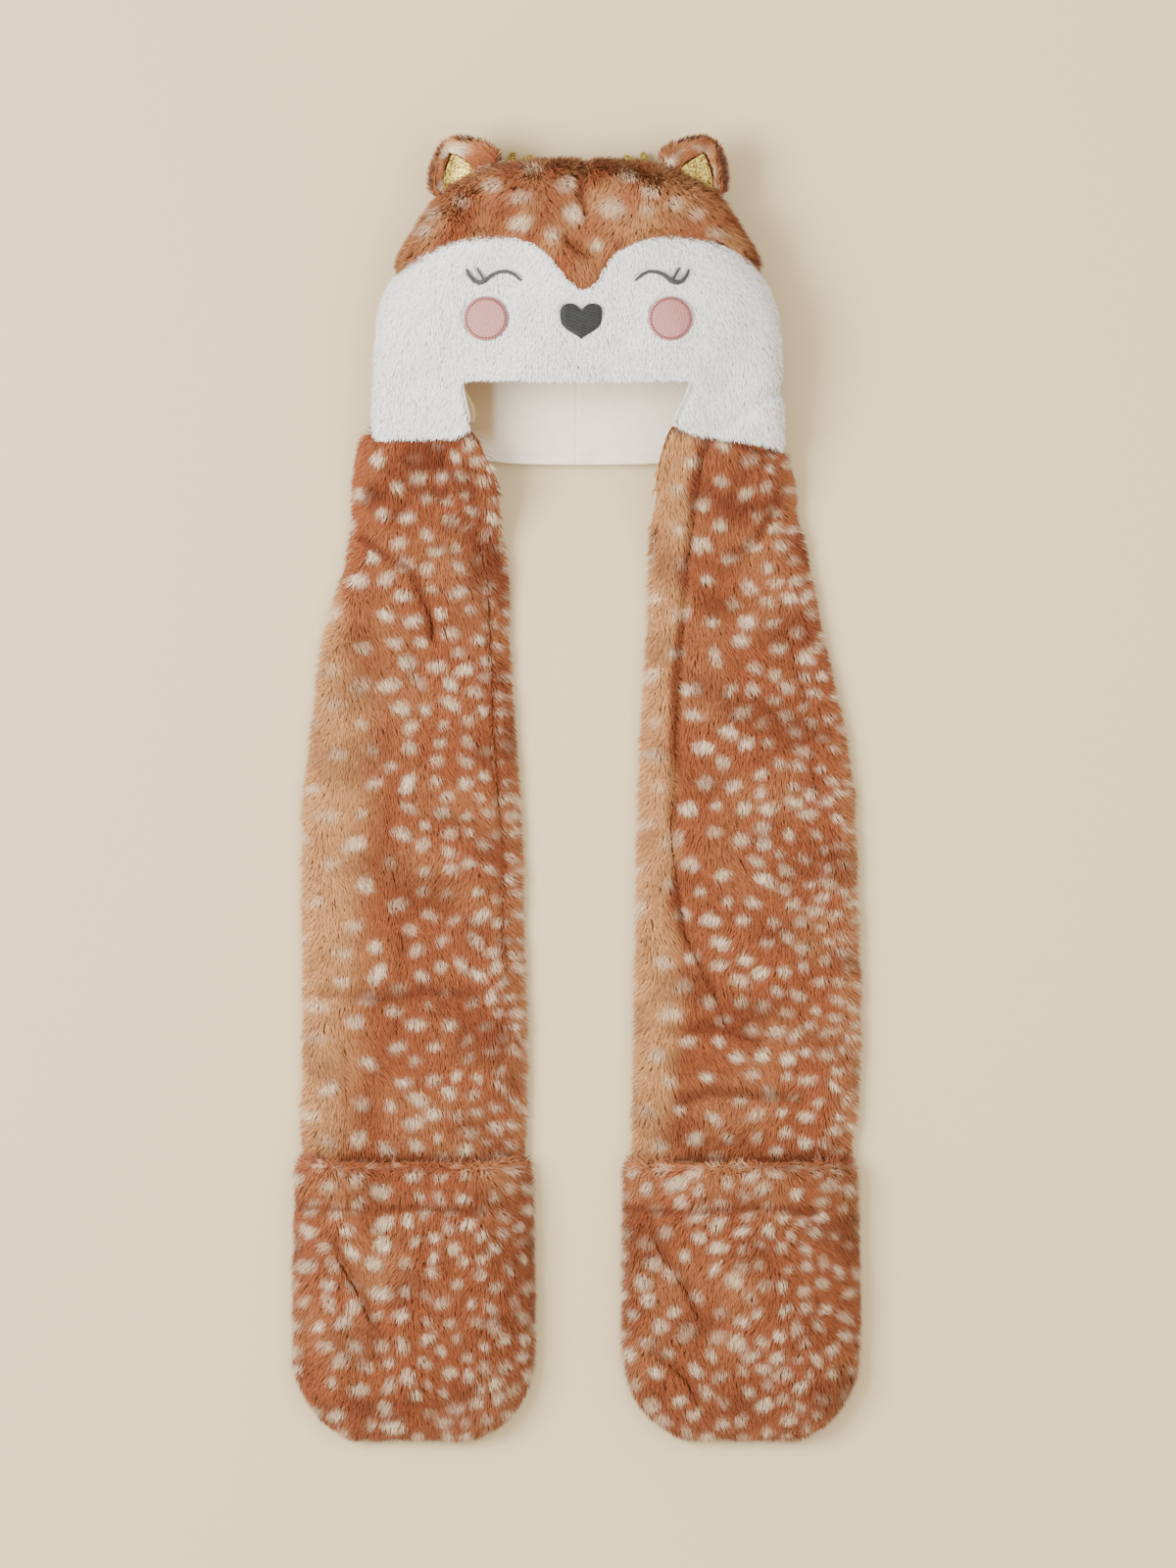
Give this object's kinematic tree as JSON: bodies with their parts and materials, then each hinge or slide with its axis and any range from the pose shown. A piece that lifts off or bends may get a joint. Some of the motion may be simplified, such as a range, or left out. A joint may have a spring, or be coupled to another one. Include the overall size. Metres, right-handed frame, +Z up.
{
  "type": "animal hood scarf",
  "caption": "Child's plush hood with a sleeping fawn's face, ears and small antlers, and long scarf ends that finish in hand pockets, lying flat on its back.",
  "frame": {"origin": "on the surface it lies on, below the middle of the whole piece", "axes": "+X to the viewer's right as the face is looked at, +Y from the pockets up to the hood's crown, +Z up from the surface, out of the hood's face"},
  "size_m": [0.3692, 0.8256, 0.0761],
  "materials": {
    "fawn fur": "deep plush pile, printed with pale spots",
    "white fur": "short plush pile",
    "cream fleece": "brushed fleece",
    "gold glitter": "coarse glitter bonded to cloth",
    "blush thread": "satin stitch",
    "charcoal thread": "satin stitch"
  },
  "bodies": {
    "root": {"face": "white fur", "crown": "fawn fur", "hood_back": "fawn fur", "hood_fleece": "cream fleece", "nose": "charcoal thread", "scarf_left": "fawn fur", "scarf_fleece_left": "cream fleece", "pocket_left": "fawn fur", "cheek_left": "blush thread", "lash_left": "charcoal thread", "ear_left": "fawn fur", "ear_glitter_left": "gold glitter", "antler_left": "gold glitter", "scarf_right": "fawn fur", "scarf_fleece_right": "cream fleece", "pocket_right": "fawn fur", "cheek_right": "blush thread", "lash_right": "charcoal thread", "ear_right": "fawn fur", "ear_glitter_right": "gold glitter", "antler_right": "gold glitter"}
  },
  "joints": []
}
